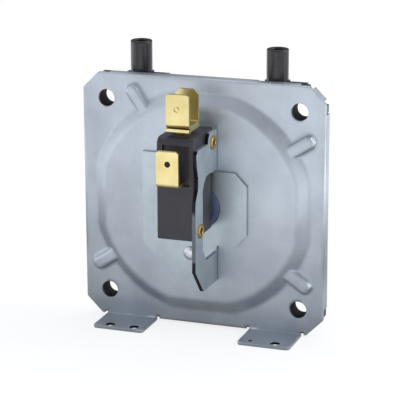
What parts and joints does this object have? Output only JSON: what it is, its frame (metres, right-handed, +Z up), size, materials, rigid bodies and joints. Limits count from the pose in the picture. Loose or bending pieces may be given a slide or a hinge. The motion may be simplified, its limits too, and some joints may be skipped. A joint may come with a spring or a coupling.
{
  "type": "air pressure switch",
  "caption": "Square sheet-steel diaphragm air pressure switch with hose nipples, bent feet, and a snap switch with brass tab terminals on a folded bracket.",
  "frame": {"origin": "middle of the four mounting holes, on the front face of the front cover's rim", "axes": "+Z up, toward the hose nipples; -Y out of the front, toward the snap switch; +X to the viewer's right"},
  "size_m": [0.0704, 0.0346, 0.0795],
  "materials": {
    "zinc_steel": "matt zinc",
    "black_plastic": "satin",
    "black_rubber": "matt",
    "plate_aluminium": "satin",
    "pin_plastic": "smooth",
    "blue_plastic": "satin",
    "ring_steel": "satin",
    "spring_steel": "drawn",
    "bracket_steel": "matt zinc",
    "rivet_steel": "bright",
    "switch_plastic": "satin",
    "button_plastic": "smooth",
    "contact_copper": "rolled",
    "contact_silver": "satin",
    "terminal_brass": "rolled",
    "rivet_brass": "dull"
  },
  "bodies": {
    "housing": {"front_cover": "zinc_steel", "body_frame": "black_plastic", "back_cover": "zinc_steel", "diaphragm": "black_rubber", "guide_bush": "blue_plastic", "bush_ring": "ring_steel", "pin_seal": "black_rubber", "range_spring": "spring_steel", "bracket": "bracket_steel", "bracket_rivets": "rivet_steel", "switch_case": "switch_plastic", "switch_cover": "switch_plastic", "fixed_contact": "contact_silver", "output_terminal": "terminal_brass", "common_terminal": "terminal_brass", "double_tab": "terminal_brass", "terminal_rivet": "terminal_brass", "switch_rivets": "rivet_brass"},
    "diaphragm_core": {"front_plate": "plate_aluminium", "rear_plate": "plate_aluminium", "push_pin": "pin_plastic"},
    "button": {"switch_button": "button_plastic"},
    "blade": {"contact_blade": "contact_copper", "moving_contact": "contact_silver"}
  },
  "joints": [
    {"name": "diaphragm_travel", "type": "slide", "parent": "housing", "child": "diaphragm_core", "axis": [0, -1, 0], "range_m": [0, 0.0009], "stiffness_N_per_m": 800, "deforming": ["range_spring", "diaphragm"]},
    {"name": "button_travel", "type": "slide", "parent": "housing", "child": "button", "axis": [0, -1, 0], "range_m": [0, 0.00092]},
    {"name": "blade_turn", "type": "hinge", "parent": "housing", "child": "blade", "pos_m": [0, -0.0086, 0.0151], "axis": [-1, 0, 0], "range_deg": [0, 3.5]}
  ],
  "couplings": [
    {"joint": "button_travel", "follows": "diaphragm_travel", "ratio": 1},
    {"joint": "blade_turn", "follows": "diaphragm_travel", "rad_per_m": 66.225}
  ]
}
